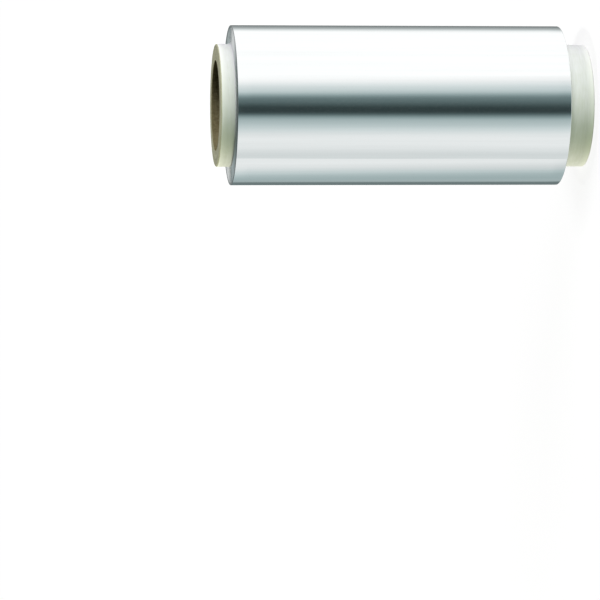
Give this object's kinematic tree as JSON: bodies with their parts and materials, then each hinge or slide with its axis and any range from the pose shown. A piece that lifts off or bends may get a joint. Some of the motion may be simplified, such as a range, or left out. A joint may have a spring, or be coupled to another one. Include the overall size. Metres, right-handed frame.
{
  "type": "aluminium foil roll",
  "caption": "Aluminium foil wound on a cardboard core, with the core bare at both ends and an open bore.",
  "frame": {"origin": "centre of the core's lower cut end, which the roll stands on", "axes": "+Z along the roll's axis, up to the core's shorter bare end; the foil's free end is a straight step along the winding, 49 degrees from -X towards -Y"},
  "size_m": [0.0627, 0.0628, 0.1464],
  "materials": {
    "foil": "bright rolled, with fine streaks along the axis",
    "paper_core": "matt laminated paper board, off-white outside and brown inside"
  },
  "bodies": {
    "root": {"cardboard_core": "paper_core", "foil_winding": "foil"}
  },
  "joints": []
}
